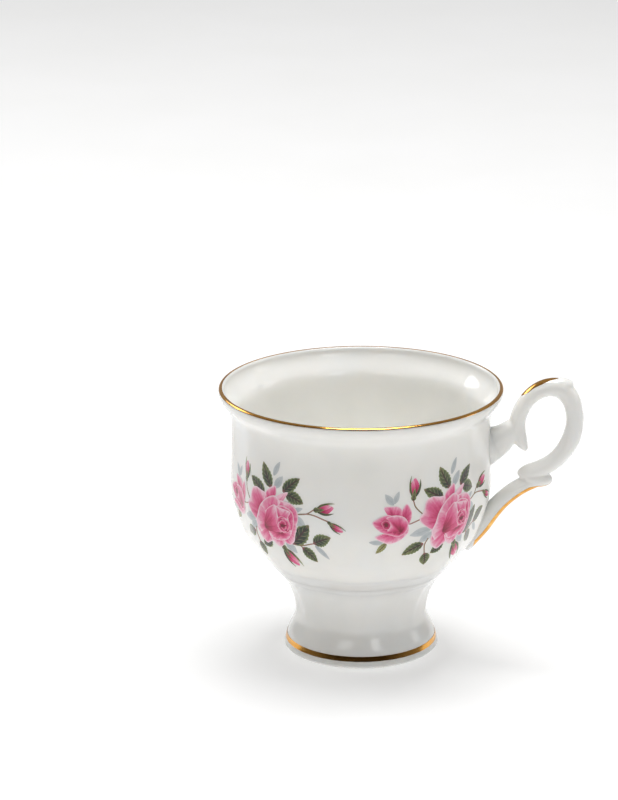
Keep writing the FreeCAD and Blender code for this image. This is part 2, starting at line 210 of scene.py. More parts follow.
def china_material():
    """White bone china: faintly warm and cool clouds, rare dark specks, a little translucence."""
    nodes = Nodes("bone_china")
    cloud = nodes.noise(38, 3.0, 0.55)
    body = nodes.ramp(
        cloud,
        [(0.3, colour(238, 238, 234)), (0.5, colour(243, 242, 238)), (0.7, colour(241, 242, 240))],
    )
    specks = nodes.add("ShaderNodeTexVoronoi")
    specks.inputs["Scale"].default_value = 105
    nodes.link(nodes.place(), specks.inputs["Vector"])
    rare = nodes.math("LESS_THAN", specks.outputs["Color"], 0.035)
    small = nodes.range(specks.outputs["Distance"], 0.02, 0.045, 1.0, 0.0)
    speck = nodes.math("MULTIPLY", rare, small)
    nodes.put(nodes.shader.inputs["Base Color"], nodes.blend(speck, body, colour(120, 112, 104)))
    nodes.shader.inputs["Subsurface Weight"].default_value = 0.35
    nodes.shader.inputs["Subsurface Radius"].default_value = (1.0, 0.92, 0.82)
    nodes.shader.inputs["Subsurface Scale"].default_value = 0.0022
    glaze(nodes, CHINA_ROUGHNESS)
    return nodes.material


def gold_material(name, worn):
    """Burnished gold with fine brush lines; worn is the share where the china shows through."""
    nodes = Nodes(name)
    brushed = nodes.noise(60, 4.0, 0.6, stretch=(1, 1, 9))
    tint = nodes.ramp(
        brushed,
        [(0.3, colour(203, 142, 66)), (0.55, colour(226, 168, 84)), (0.75, colour(240, 190, 110))],
    )
    patches = nodes.noise(140, 4.0, 0.7)
    wear = nodes.range(patches, 0.74 - worn, 0.78 - worn)
    nodes.put(nodes.shader.inputs["Base Color"], nodes.blend(wear, tint, colour(232, 226, 214)))
    nodes.put(nodes.shader.inputs["Metallic"], nodes.math("SUBTRACT", 1.0, wear))
    nodes.put(nodes.shader.inputs["Roughness"], nodes.range(brushed, 0.3, 0.7, 0.07, 0.16))
    nodes.bump(brushed, 0.12, 0.0002)
    return nodes.material


def petal_material():
    """Rose print: deep at a petal's base, light at its edge, with soft streaks between."""
    nodes = Nodes("petal_print")
    along, across, tone = (nodes.attribute(name) for name in ("along", "across", "tone"))
    streak_place = nodes.add("ShaderNodeCombineXYZ")
    nodes.link(nodes.math("MULTIPLY", across, 9.0), streak_place.inputs[0])
    nodes.link(nodes.math("MULTIPLY", along, 1.4), streak_place.inputs[1])
    nodes.link(nodes.math("MULTIPLY", tone, 40.0), streak_place.inputs[2])
    streak = nodes.noise(1.0, 4.0, 0.6, where=streak_place.outputs[0])
    wash = nodes.noise(420, 3.0, 0.6)
    depth = nodes.math("ADD", along, nodes.range(streak, 0.25, 0.75, -0.24, 0.24))
    depth = nodes.math("ADD", depth, nodes.range(wash, 0.3, 0.7, -0.06, 0.06))
    depth = nodes.math("ADD", depth, nodes.range(tone, 0.0, 1.0, -0.34, 0.3))
    pink = nodes.ramp(
        depth,
        [
            (0.0, colour(112, 10, 40)),
            (0.2, colour(168, 26, 74)),
            (0.45, colour(208, 58, 112)),
            (0.68, colour(228, 98, 146)),
            (0.88, colour(236, 150, 180)),
            (1.0, colour(245, 196, 212)),
        ],
    )
    rim = nodes.range(along, 0.92, 1.0, 0.0, 0.8, smooth=True)
    nodes.put(nodes.shader.inputs["Base Color"], nodes.blend(rim, pink, colour(252, 226, 234)))
    glaze(nodes, PRINT_ROUGHNESS)
    return nodes.material


def leaf_material():
    """Leaf print: dark green to olive, lighter at margin and tip, brown midrib, two-tone side veins."""
    nodes = Nodes("leaf_print")
    along, across, tone = (nodes.attribute(name) for name in ("along", "across", "tone"))
    side = nodes.math("ABSOLUTE", across)
    wash = nodes.noise(330, 4.0, 0.65)
    depth = nodes.math("ADD", tone, nodes.range(wash, 0.3, 0.7, -0.22, 0.22))
    depth = nodes.math("ADD", depth, nodes.range(along, 0.0, 1.0, -0.2, 0.34))
    green = nodes.ramp(
        depth,
        [
            (0.0, colour(30, 44, 32)),
            (0.3, colour(46, 66, 42)),
            (0.6, colour(88, 102, 58)),
            (1.0, colour(158, 156, 96)),
        ],
    )
    margin = nodes.range(side, 0.66, 1.0, 0.0, 0.8, smooth=True)
    green = nodes.blend(margin, green, colour(148, 160, 104))
    slant = nodes.math("SUBTRACT", nodes.math("MULTIPLY", along, 5.5), nodes.math("MULTIPLY", side, 1.5))
    wave = nodes.math("ABSOLUTE", nodes.math("SUBTRACT", nodes.math("FRACT", slant), 0.5))
    pale_line, pale_end = nodes.range(wave, 0.0, 0.1, 0.75, 0.0), nodes.range(side, 0.5, 0.9, 1.0, 0.0)
    green = nodes.blend(nodes.math("MULTIPLY", pale_line, pale_end), green, colour(168, 146, 116))
    dark_line, dark_end = nodes.range(wave, 0.36, 0.5, 0.0, 0.6), nodes.range(side, 0.4, 0.8, 1.0, 0.0)
    dark_vein = nodes.math("MULTIPLY", dark_line, dark_end)
    midrib = nodes.range(side, 0.06, 0.2, 0.9, 0.0)
    green = nodes.blend(nodes.math("MAXIMUM", dark_vein, midrib), green, colour(62, 34, 36))
    blush = nodes.range(along, 0.0, 0.14, 0.8, 0.0)
    tip = nodes.range(along, 0.88, 1.0, 0.0, 0.6)
    green = nodes.blend(tip, green, colour(176, 150, 116))
    nodes.put(nodes.shader.inputs["Base Color"], nodes.blend(blush, green, colour(176, 92, 100)))
    glaze(nodes, PRINT_ROUGHNESS)
    return nodes.material


def shadow_leaf_material():
    """The pale grey leaves printed behind the spray, fading towards margins and tips."""
    nodes = Nodes("shadow_leaf_print")
    along, across = nodes.attribute("along"), nodes.attribute("across")
    side = nodes.math("ABSOLUTE", across)
    wash = nodes.noise(300, 3.0, 0.6)
    grey = nodes.ramp(wash, [(0.3, colour(172, 180, 184)), (0.7, colour(198, 203, 204))])
    midrib = nodes.range(side, 0.04, 0.2, 0.35, 0.0)
    grey = nodes.blend(midrib, grey, colour(150, 158, 164))
    margin, tip = nodes.range(side, 0.6, 1.0, 0.0, 0.5), nodes.range(along, 0.6, 1.0, 0.0, 0.45)
    fade = nodes.math("MAXIMUM", margin, tip)
    nodes.put(nodes.shader.inputs["Base Color"], nodes.blend(fade, grey, colour(224, 224, 224)))
    glaze(nodes, PRINT_ROUGHNESS)
    return nodes.material


def stem_material():
    """Stem print: olive-brown with pink patches."""
    nodes = Nodes("stem_print")
    patches = nodes.noise(260, 3.0, 0.6)
    shade = nodes.ramp(
        patches,
        [(0.3, colour(128, 112, 72)), (0.5, colour(150, 118, 92)), (0.68, colour(178, 112, 112))],
    )
    nodes.put(nodes.shader.inputs["Base Color"], shade)
    glaze(nodes, PRINT_ROUGHNESS)
    return nodes.material


def floor_material():
    """Pale paper, lit a little from within so that it stays near white."""
    nodes = Nodes("pale_floor")
    grain = nodes.noise(14, 4.0, 0.6)
    paper = nodes.ramp(grain, [(0.3, colour(200, 200, 199)), (0.7, colour(204, 204, 204))])
    nodes.put(nodes.shader.inputs["Base Color"], paper)
    nodes.shader.inputs["Roughness"].default_value = 0.7
    nodes.shader.inputs["Emission Color"].default_value = (1, 1, 1, 1)
    nodes.shader.inputs["Emission Strength"].default_value = 0.42
    return nodes.material


CHINA = china_material()
GOLD = gold_material("rim_gold", 0.0)
WORN_GOLD = gold_material("foot_gold", 0.07)
PETAL = petal_material()
LEAF = leaf_material()
SHADOW_LEAF = shadow_leaf_material()
STEM = stem_material()


# ---------------------------------------------------------------- CAD nodes that stay

KEPT_NODES = {"bowl": CHINA, "foot": CHINA, "rim_gilding": GOLD, "foot_gilding": WORN_GOLD}
for name, material in KEPT_NODES.items():
    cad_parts[name].data.materials.clear()
    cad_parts[name].data.materials.append(material)


# ---------------------------------------------------------------- the bowl's outer surface

PANELS = 8
PANEL_ANGLE = 360 / PANELS
WALL_LOW, WALL_HIGH = 28.6, 74.0  # heights between which the wall is measured
NORMAL_TURN = 0.5  # degrees to each side that a normal is taken over
NORMAL_RISE = 0.3 * MM  # and how far up and down


class Wall:
    """The bowl's outer surface as a smooth function, measured from the CAD bowl."""

    def __init__(self, low, high, height_steps=70, angle_steps=30):
        self.tree = surface_tree(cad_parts["bowl"].data)
        self.low, self.high = low, high
        self.height_steps, self.angle_steps = height_steps, angle_steps
        rows = []
        for row in range(height_steps + 1):
            height = mix(low, high, row / height_steps)
            rows.append([self.mean_radius(height, step / angle_steps) for step in range(angle_steps + 1)])
        self.rows = []
        for row in range(height_steps + 1):
            self.rows.append([self.softened(rows, row, step) for step in range(angle_steps + 1)])

    def mean_radius(self, height, share):
        """The radius at a share of the way from a panel's middle to the facet beside it."""
        total = 0.0
        for panel in range(PANELS):
            for side in (-1, 1):
                azimuth = math.radians(PANEL_ANGLE * (panel + side * share / 2))
                outward = Vector((math.cos(azimuth), math.sin(azimuth), 0))
                start = outward * RAY_START + Vector((0, 0, height))
                hit = self.tree.ray_cast(start, -outward)[0]
                total += math.hypot(hit.x, hit.y)
        return total / (2 * PANELS)

    def softened(self, rows, row, step):
        """A light average with the neighbours, which takes out the mesh's facets."""
        above, below = min(row + 1, len(rows) - 1), max(row - 1, 0)
        return (rows[above][step] + 2 * rows[row][step] + rows[below][step]) / 4

    def radius(self, azimuth, height):
        turn = (azimuth / PANEL_ANGLE) % 1
        across = min(turn, 1 - turn) * 2 * self.angle_steps
        up = (height - self.low) / (self.high - self.low) * self.height_steps
        up = min(max(up, 0), self.height_steps - 1e-6)
        column, row = min(int(across), self.angle_steps - 1), int(up)
        lower = mix(self.rows[row][column], self.rows[row][column + 1], across - column)
        upper = mix(self.rows[row + 1][column], self.rows[row + 1][column + 1], across - column)
        return mix(lower, upper, up - row)

    def point(self, azimuth, height):
        turn = math.radians(azimuth)
        radius = self.radius(azimuth, height)
        return Vector((radius * math.cos(turn), radius * math.sin(turn), height))

    def lifted(self, azimuth, height, lift):
        """A point that stands off the wall along its normal."""
        here = self.point(azimuth, height)
        aside = self.point(azimuth + NORMAL_TURN, height) - self.point(azimuth - NORMAL_TURN, height)
        above = self.point(azimuth, height + NORMAL_RISE) - self.point(azimuth, height - NORMAL_RISE)
        return here + aside.cross(above).normalized() * lift


WALL = Wall(WALL_LOW * MM, WALL_HIGH * MM)


# ---------------------------------------------------------------- printed shapes

PRINT_RADIUS = 38.5  # radius at which the flat drawing is wrapped round the bowl
ROSE_HEIGHT = 51.8  # height of the main rose's middle
PRINT_LIFT = 0.035  # how far the lowest print stands off the wall
LAYER_LIFT = 0.011  # how much more each later print over it stands off
PRINT_ROOT = -0.05  # every print's underside lies this far inside the wall
LEAF_STEPS, LEAF_LANES = 14, 6  # divisions along and across a leaf
PETAL_STEPS, PETAL_RINGS = 26, 9  # divisions round and out to a petal's outline
STEM_STEPS = 16
STEM_WIDTH = 0.36
TOOTH = 0.07  # how far a leaf's teeth stand out and in, as a share of its width there
MIDDLE_TONE = 0.5


class Print:
    """One piece of a transfer: many small closed patches that lie on the wall."""

    def __init__(self, azimuth, turn):
        self.azimuth = azimuth
        self.turn = math.radians(turn)
        self.vertices, self.faces = [], []
        self.along, self.across, self.tone = [], [], []

    def on_wall(self, flat, lift):
        """The drawing's point (right, up) in millimetres, on the wall in metres."""
        right = flat.x * math.cos(self.turn) - flat.y * math.sin(self.turn)
        up = flat.x * math.sin(self.turn) + flat.y * math.cos(self.turn)
        azimuth = self.azimuth + math.degrees(right / PRINT_RADIUS)
        return WALL.lifted(azimuth, (ROSE_HEIGHT + up) * MM, lift * MM)

    def patch(self, rows, tone, layer):
        """A closed slab from rows of (flat point, along, across)."""
        width = len(rows[0])
        start = len(self.vertices)
        for lift in (PRINT_LIFT + LAYER_LIFT * layer, PRINT_ROOT):
            for row in rows:
                for flat, along, across in row:
                    self.vertices.append(self.on_wall(flat, lift))
                    self.along.append(along)
                    self.across.append(across)
                    self.tone.append(tone)
        below = len(rows) * width
        for row in range(len(rows) - 1):
            for column in range(width - 1):
                corner = start + row * width + column
                quad = (corner, corner + 1, corner + width + 1, corner + width)
                self.faces.append(quad)
                self.faces.append(tuple(below + index for index in reversed(quad)))
        edge = [start + column for column in range(width)]
        edge += [start + row * width + width - 1 for row in range(1, len(rows))]
        edge += [start + (len(rows) - 1) * width + column for column in range(width - 2, -1, -1)]
        edge += [start + row * width for row in range(len(rows) - 2, 0, -1)]
        for first, second in zip(edge, edge[1:] + edge[:1]):
            self.faces.append((second, first, first + below, second + below))

    def finish(self, name, material):
        mesh = bpy.data.meshes.new(name)
        mesh.from_pydata(self.vertices, [], self.faces)
        for key, values in (("along", self.along), ("across", self.across), ("tone", self.tone)):
            attribute = mesh.attributes.new(key, "FLOAT", "POINT")
            attribute.data.foreach_set("value", values)
        work = bmesh.new()
        work.from_mesh(mesh)
        close_mesh(work, mesh)
        piece = new_object(name, mesh, material)
        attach(piece, ROOT)
        return piece


def flat(points):
    return [Vector((x, y, 0)) for x, y in points]


def draw_leaf(sheet, base, tip, width, bend, tone, layer, toothed=True):
    """A pointed leaf from base to tip. Bend curves its midrib to the left of that line."""
    start, end = flat([base, tip])
    line = end - start
    aside = Vector((-line.y, line.x, 0)).normalized()
    middle = (start + end) / 2 + aside * bend
    rows = []
    for step in range(LEAF_STEPS + 1):
        along = mix(0.015, 0.985, step / LEAF_STEPS)
        rib = start * (1 - along) ** 2 + middle * (2 * along * (1 - along)) + end * along**2
        heading = (middle - start) * (1 - along) + (end - middle) * along
        out = Vector((-heading.y, heading.x, 0)).normalized()
        half = width / 2 * math.sin(math.pi * along**0.82) ** 0.85
        if toothed:
            half *= 1.0 + TOOTH * (-1) ** step
        row = []
        for lane in range(-LEAF_LANES // 2, LEAF_LANES // 2 + 1):
            across = 2 * lane / LEAF_LANES
            row.append((rib + out * (half * across), along, across))
        rows.append(row)
    sheet.patch(rows, tone, layer)


def draw_petal(sheet, base, outline, tone, layer):
    """A petal as a fan from its base to its outline."""
    centre = flat([base])[0]
    rim = curve_through(flat(outline), PETAL_STEPS)
    rows = []
    for ring in range(PETAL_RINGS + 1):
        reach = mix(0.03, 1.0, ring / PETAL_RINGS)
        row = []
        for index, point in enumerate(rim):
            row.append((centre + (point - centre) * reach, reach, index / PETAL_STEPS))
        rows.append(row)
    sheet.patch(rows, tone, layer)


def draw_stem(sheet, points, layer):
    """A stem of even width through the points."""
    line = curve_through(flat(points), STEM_STEPS)
    rows = []
    for index, point in enumerate(line):
        before, after = line[max(index - 1, 0)], line[min(index + 1, STEM_STEPS)]
        heading = (after - before).normalized()
        out = Vector((-heading.y, heading.x, 0)) * (STEM_WIDTH / 2)
        rows.append([(point + out * side, index / STEM_STEPS, side) for side in (-1, 0, 1)])
    sheet.patch(rows, MIDDLE_TONE, layer)


# ---------------------------------------------------------------- the drawing of a spray

# Leaves: base, tip, width, bend of the midrib, tone from dark green to olive.
LEAVES = [
    ((1.9, 8.2), (-1.8, 15.4), 3.9, 0.5, 0.34),
    ((6.2, 8.0), (11.4, 13.2), 3.5, 0.5, 0.26),
    ((7.0, 7.7), (12.9, 5.7), 3.9, 0.4, 0.36),
    ((-0.7, 5.6), (-7.2, 9.4), 4.0, -0.3, 0.22),
    ((-6.4, -7.6), (-13.2, -10.8), 3.5, -0.3, 0.42),
    ((-5.5, -11.0), (-4.4, -15.4), 3.5, 0.2, 0.5),
    ((0.8, -8.0), (-3.4, -11.4), 3.8, 0.4, 0.05),
    ((-18.6, -5.8), (-21.8, -9.2), 2.0, 0.2, 0.9),
    ((8.8, -7.8), (15.0, -0.3), 5.3, -0.4, 0.12),
    ((16.2, -6.3), (22.0, -3.0), 4.1, 0.4, 0.34),
    ((12.2, -8.4), (17.0, -12.6), 3.6, 0.4, 0.4),
]
# Shadow leaves: base, tip, width.
SHADOW_LEAVES = [
    ((2.6, 12.2), (4.7, 17.0), 1.8),
    ((3.3, 8.6), (5.9, 12.8), 2.4),
    ((-16.5, 5.7), (-19.2, 9.3), 2.1),
    ((-16.3, 6.0), (-14.8, 9.7), 1.7),
    ((-4.6, -2.8), (-11.4, -4.4), 2.8),
    ((-4.4, -4.0), (-8.0, -7.0), 2.8),
    ((-19.6, -5.6), (-24.0, -5.3), 1.7),
    ((9.6, 2.8), (12.8, 4.3), 1.5),
    ((9.8, 1.2), (14.0, -1.6), 3.0),
    ((6.8, -7.4), (10.2, -10.8), 2.5),
    ((16.6, -6.8), (21.4, -10.7), 1.7),
]
# Stems: the points that they run through.
STEMS = [
    [(-10.4, 6.4), (-9.7, 4.3), (-7.6, 2.0)],
    [(-11.9, -0.6), (-11.0, -0.5), (-8.4, 0.4)],
    [(-5.2, -6.0), (-6.0, -8.2), (-5.5, -11.2)],
    [(10.6, 2.1), (15.4, 3.0), (20.9, 2.0)],
    [(11.6, 2.3), (14.2, 3.0), (16.3, 4.6)],
    [(8.0, -7.6), (11.8, -7.8), (16.4, -6.2)],
    [(11.6, -7.8), (12.0, -8.1), (12.5, -8.7)],
    [(2.6, 5.4), (2.2, 7.0), (1.8, 8.4)],
    [(5.2, 5.0), (6.0, 6.8), (7.1, 7.8)],
    [(1.6, -8.4), (3.6, -8.2), (5.3, -8.9)],
]
# Buds: base of the calyx, tip, width of the pink part.
BUDS = [
    ((-10.5, 6.2), (-9.5, 14.0), 2.9),
    ((16.2, 4.5), (23.4, 6.4), 2.9),
    ((20.8, 2.0), (26.2, -1.2), 1.9),
    ((5.2, -8.8), (10.2, -16.4), 3.3),
]
# The main rose's petals, from the back to the front: base, outline, tone.
MAIN_ROSE = [
    (
        (0.4, -0.8),
        [
            (-2.6, -4.6), (-6.2, -2.2), (-8.6, 0.4), (-7.3, 2.6), (-6.5, 5.6), (-4.6, 6.9),
            (-1.6, 6.4), (1.6, 6.2), (3.4, 4.4),
        ],
        0.52,
    ),
    ((2.6, 2.0), [(-0.8, 4.4), (0.3, 7.2), (3.3, 9.4), (3.9, 7.4), (3.5, 5.8), (5.0, 4.2)], 0.4),
    ((3.8, 1.4), [(2.2, 4.8), (4.8, 7.0), (7.8, 8.4), (6.9, 6.2), (6.3, 4.8), (8.0, 3.4)], 0.75),
    (
        (5.8, -1.4),
        [
            (2.6, 4.2), (5.4, 5.4), (8.6, 5.2), (10.9, 3.5), (11.5, 0.8), (11.0, -1.6),
            (10.9, -3.4),
        ],
        0.42,
    ),
    (
        (4.0, -2.6),
        [
            (-2.0, -2.2), (-4.3, -5.0), (-3.9, -8.2), (-1.6, -10.2), (0.6, -9.2), (3.2, -7.8),
        ],
        0.5,
    ),
    ((4.4, -3.0), [(0.4, -5.6), (1.6, -8.2), (4.2, -9.9), (6.2, -8.4), (7.0, -6.0)], 0.58),
    ((5.8, -2.6), [(5.4, -6.4), (7.8, -8.2), (9.7, -7.0), (10.4, -4.6), (11.2, -1.8)], 0.48),
    (
        (3.4, -2.0),
        [
            (-2.9, -7.0), (-4.5, -4.2), (-3.4, -1.2), (-2.2, 2.0), (0.4, 4.9), (3.6, 6.4),
            (5.6, 4.8),
        ],
        0.62,
    ),
    ((6.4, -2.0), [(4.0, 3.4), (6.6, 4.0), (9.4, 2.8), (10.2, 0.4), (9.9, -2.4), (8.9, -4.6)], 0.28),
    ((6.2, -1.4), [(3.4, 3.4), (5.6, 3.2), (8.8, 2.6), (8.4, 0.9), (8.7, -0.6)], 0.66),
    (
        (-0.7, -4.6),
        [
            (0.0, 0.7), (1.8, 2.6), (3.9, 3.6), (4.9, 0.6), (6.3, -2.6), (6.5, -4.9), (4.4, -6.5),
            (1.6, -6.9),
        ],
        0.46,
    ),
    ((5.6, -4.6), [(0.6, -5.6), (2.4, -7.5), (5.2, -7.4), (7.8, -6.3), (9.2, -4.4), (9.4, -2.8)], 0.56),
]
# Small curled petals round the heart: base, outline, tone.
HEART = [
    (
        (6.6, -2.1),
        [
            (4.6, -0.8), (5.6, 0.5), (7.2, 0.6), (8.7, -0.4), (9.1, -2.2), (8.4, -3.9),
            (6.8, -4.4), (5.3, -3.7), (4.6, -2.2), (4.7, -0.8),
        ],
        0.02,
    ),
    ((7.3, -1.7), [(6.2, 0.1), (7.6, 0.3), (8.6, -0.7), (8.8, -2.2), (8.1, -3.5)], 0.42),
    ((6.2, -2.7), [(7.9, -3.9), (6.5, -4.2), (5.3, -3.5), (4.9, -2.2), (5.3, -1.1)], 0.5),
    ((6.7, -1.9), [(5.4, -1.4), (6.2, -0.5), (7.3, -0.6), (7.8, -1.5)], 0.3),
    ((6.9, -2.4), [(7.8, -2.0), (7.6, -3.0), (6.7, -3.3), (6.0, -2.7)], 0.34),
]
# The half-open rose's petals, in the same order and form.
HALF_ROSE = [
    (
        (-16.2, 0.6),
        [
            (-18.6, 2.9), (-19.6, 5.3), (-17.4, 5.4), (-14.8, 4.9), (-13.2, 2.6), (-12.6, 1.2),
        ],
        0.44,
    ),
    (
        (-13.8, -0.4),
        [
            (-14.2, 2.6), (-13.6, 4.6), (-12.4, 5.6), (-11.2, 3.8), (-10.9, 1.8), (-11.8, -0.8),
        ],
        0.42,
    ),
    (
        (-15.4, -1.4),
        [
            (-11.8, -1.4), (-12.0, -3.4), (-14.4, -5.6), (-17.6, -6.3), (-20.4, -5.2),
            (-22.2, -3.5), (-19.4, -2.9),
        ],
        0.56,
    ),
    (
        (-17.2, -0.8),
        [
            (-16.4, 2.2), (-18.4, 3.0), (-20.8, 2.4), (-23.0, 1.0), (-21.8, -1.0), (-19.6, -2.6),
            (-16.4, -3.8),
        ],
        0.36,
    ),
    (
        (-14.4, -2.8),
        [
            (-18.6, -1.9), (-17.8, 0.6), (-18.9, 2.2), (-16.0, 2.6), (-13.2, 1.6), (-12.0, -0.6),
            (-12.6, -2.9), (-14.8, -4.2), (-17.2, -3.6),
        ],
        0.5,
    ),
]
HALF_HEART = [
    (
        (-18.9, 0.1),
        [
            (-20.4, 0.6), (-19.4, 1.4), (-18.2, 1.0), (-17.6, -0.2), (-18.2, -1.4), (-19.5, -1.1),
            (-20.4, 0.6),
        ],
        0.0,
    ),
]


def draw_bud(petals, leaves, base, tip, width, layer):
    """A bud: a pink body with a fold, three narrow sepals round it and a calyx at its base."""
    start, end = flat([base, tip])
    line = end - start
    out = Vector((-line.y, line.x, 0)).normalized()

    def place(along, aside):
        spot = start + line * along + out * aside
        return (spot.x, spot.y)

    def leaf(sheet, start_at, end_at, wide, bend, tone, above):
        draw_leaf(sheet, place(*start_at), place(*end_at), wide, bend, tone, layer + above, toothed=False)

    half = 0.5 * width
    leaf(petals, (0.16, 0), (0.9, 0.05 * width), 1.1 * width, 0.0, 0.3, 0)
    leaf(petals, (0.2, 0.2 * half), (0.84, 0.5 * half), half, 0.1, 0.7, 1)
    leaf(leaves, (0.1, 0.1), (0.98, 0.9 * half), 0.42 * half, half, 0.5, 2)
    leaf(leaves, (0.1, -0.1), (0.86, -half), 0.5 * half, -half, 0.2, 2)
    leaf(leaves, (0.08, 0.0), (0.5, -0.1 * half), 0.7 * half, 0.05, 0.55, 3)
    leaf(leaves, (0.0, 0.0), (0.3, 0.0), 1.1 * half, 0.0, 0.62, 3)


# The order that the prints lie over each other in.
SHADOW_LAYER, STEM_LAYER, LEAF_LAYER, BUD_LAYER, ROSE_LAYER = range(5)
SHADOW_BEND = 0.15  # bend of a shadow leaf's midrib


def make_spray(name, azimuth, turn):
    """One rose spray: shadow leaves, stems, leaves and petals, each a piece of its own."""
    shadows, stems, leaves, petals = (Print(azimuth, turn) for _ in range(4))
    for base, tip, width in SHADOW_LEAVES:
        draw_leaf(shadows, base, tip, width, SHADOW_BEND, MIDDLE_TONE, SHADOW_LAYER, toothed=False)
    for points in STEMS:
        draw_stem(stems, points, STEM_LAYER)
    for index, (base, tip, width, bend, tone) in enumerate(LEAVES):
        draw_leaf(leaves, base, tip, width, bend, tone, LEAF_LAYER + index % 2)
    for base, tip, width in BUDS:
        draw_bud(petals, leaves, base, tip, width, BUD_LAYER)
    for roses in (MAIN_ROSE + HEART, HALF_ROSE + HALF_HEART):
        for index, (base, outline, tone) in enumerate(roses):
            draw_petal(petals, base, outline, tone, ROSE_LAYER + index)
    shadows.finish(f"shadow_leaves_{name}", SHADOW_LEAF)
    stems.finish(f"stems_{name}", STEM)
    leaves.finish(f"leaves_{name}", LEAF)
    rose = petals.finish(f"roses_{name}", PETAL)
    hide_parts(f"rose_transfer_{name}")


# Each spray's direction from the handle, and how far it is turned, both in degrees.
SPRAYS = [
    ("front_right", -49.0, 0),
    ("front_left", -133.7, -3),
    ("back_left", 131.0, 0),
    ("back_right", 43.0, 0),
]
for spray_name, spray_azimuth, spray_turn in SPRAYS:
    make_spray(spray_name, spray_azimuth, spray_turn)


# ---------------------------------------------------------------- the handle

ARM_THICKNESS = 5.2
ARM_WIDTH = 5.8
SECTION_STEPS = 28  # points round a section
SPAN_STEPS = 8  # rings from one station to the next
DEPTH_IN_WALL = 1.1  # how far the handle's ends run into the bowl's wall
# Each limb is a run of oval sections: place of the middle (x, z), and thickness and width
# as shares of the arm's.
UPPER_ARM = [
    (36.8, 64.4, 2.40, 1.34),
    (38.8, 64.8, 2.14, 1.24),
    (40.7, 65.7, 1.80, 1.10),
    (42.7, 67.2, 1.46, 1.00),
    (44.8, 69.2, 1.18, 0.94),
    (46.4, 71.2, 0.88, 0.86),
]
LOOP = [
    (49.0, 62.5, 0.16, 0.20),
    (48.5, 63.4, 0.42, 0.50),
    (47.3, 65.6, 0.76, 0.80),
    (46.3, 69.0, 0.92, 0.94),
    (46.5, 72.8, 0.91, 1.00),
    (48.4, 77.2, 0.89, 1.00),
    (51.5, 80.5, 0.94, 1.00),
    (55.2, 82.1, 1.02, 1.00),
    (58.9, 81.7, 1.12, 1.00),
    (61.6, 78.9, 1.06, 1.00),
    (62.9, 74.9, 1.00, 1.00),
    (63.1, 71.0, 1.00, 1.00),
    (62.2, 66.6, 1.04, 1.00),
    (60.0, 62.4, 1.00, 1.00),
    (56.8, 59.0, 0.96, 1.00),
    (52.7, 56.7, 0.95, 1.02),
    (49.6, 55.9, 0.84, 0.98),
    (47.4, 55.4, 0.52, 0.70),
    (46.5, 55.2, 0.20, 0.30),
]
KNUCKLE = [
    (56.4, 81.8, 0.90, 0.80),
    (59.0, 82.4, 1.06, 0.90),
    (61.0, 83.0, 0.76, 0.72),
    (62.1, 83.5, 0.36, 0.40),
    (62.5, 83.7, 0.12, 0.16),
]
COLLAR = [
    (47.4, 54.9, 0.44, 0.60),
    (49.5, 54.4, 0.86, 0.92),
    (52.4, 53.9, 0.98, 1.02),
    (54.8, 53.7, 0.80, 0.92),
    (56.2, 53.6, 0.48, 0.60),
    (56.9, 53.6, 0.18, 0.24),
]
LOWER_ARM = [
    (53.4, 53.4, 0.62, 0.80),
    (51.2, 53.0, 0.84, 0.92),
    (49.1, 52.2, 0.90, 0.96),
    (46.3, 50.6, 0.93, 0.98),
    (43.5, 48.4, 0.95, 0.98),
    (41.0, 46.0, 0.98, 1.00),
    (38.5, 42.9, 1.02, 1.04),
    (36.2, 39.7, 1.08, 1.08),
    (34.0, 37.3, 1.16, 1.14),
    (31.6, 34.9, 1.24, 1.20),
    (30.0, 33.2, 1.20, 1.15),
]


def limb_rings(stations, steps):
    """Rings of points along a limb, at smoothly spaced sections."""
    middles = curve_through([Vector((x, 0, z)) for x, z, thick, wide in stations], steps)
    sizes = curve_through([Vector((thick, wide, 0)) for x, z, thick, wide in stations], steps)
    rings = []
    for index, (middle, size) in enumerate(zip(middles, sizes)):
        heading = (middles[min(index + 1, steps)] - middles[max(index - 1, 0)]).normalized()
        across = Vector((-heading.z, 0, heading.x))
        ring = []
        for step in range(SECTION_STEPS):
            turn = 2 * math.pi * step / SECTION_STEPS
            in_plane = across * (size.x * ARM_THICKNESS / 2 * math.cos(turn))
            ring.append((middle + in_plane + Vector((0, size.y * ARM_WIDTH / 2 * math.sin(turn), 0))) * MM)
        rings.append(ring)
    return rings


def add_tube(work, rings):
    """A closed tube through the rings."""
    made = [[work.verts.new(point) for point in ring] for ring in rings]
    count = len(rings[0])
    for ring, following in zip(made, made[1:]):
        for step in range(count):
            after = (step + 1) % count
            work.faces.new((ring[step], ring[after], following[after], following[step]))
    work.faces.new(list(reversed(made[0])))
    work.faces.new(made[-1])


def into_wall(point, depth):
    """The point, moved out so that it lies no deeper than the given depth in the wall."""
    azimuth = math.degrees(math.atan2(point.y, point.x))
    least = WALL.radius(azimuth, point.z) - depth
    radius = math.hypot(point.x, point.y)
    if radius >= least:
        return point
    return Vector((point.x * least / radius, point.y * least / radius, point.z))


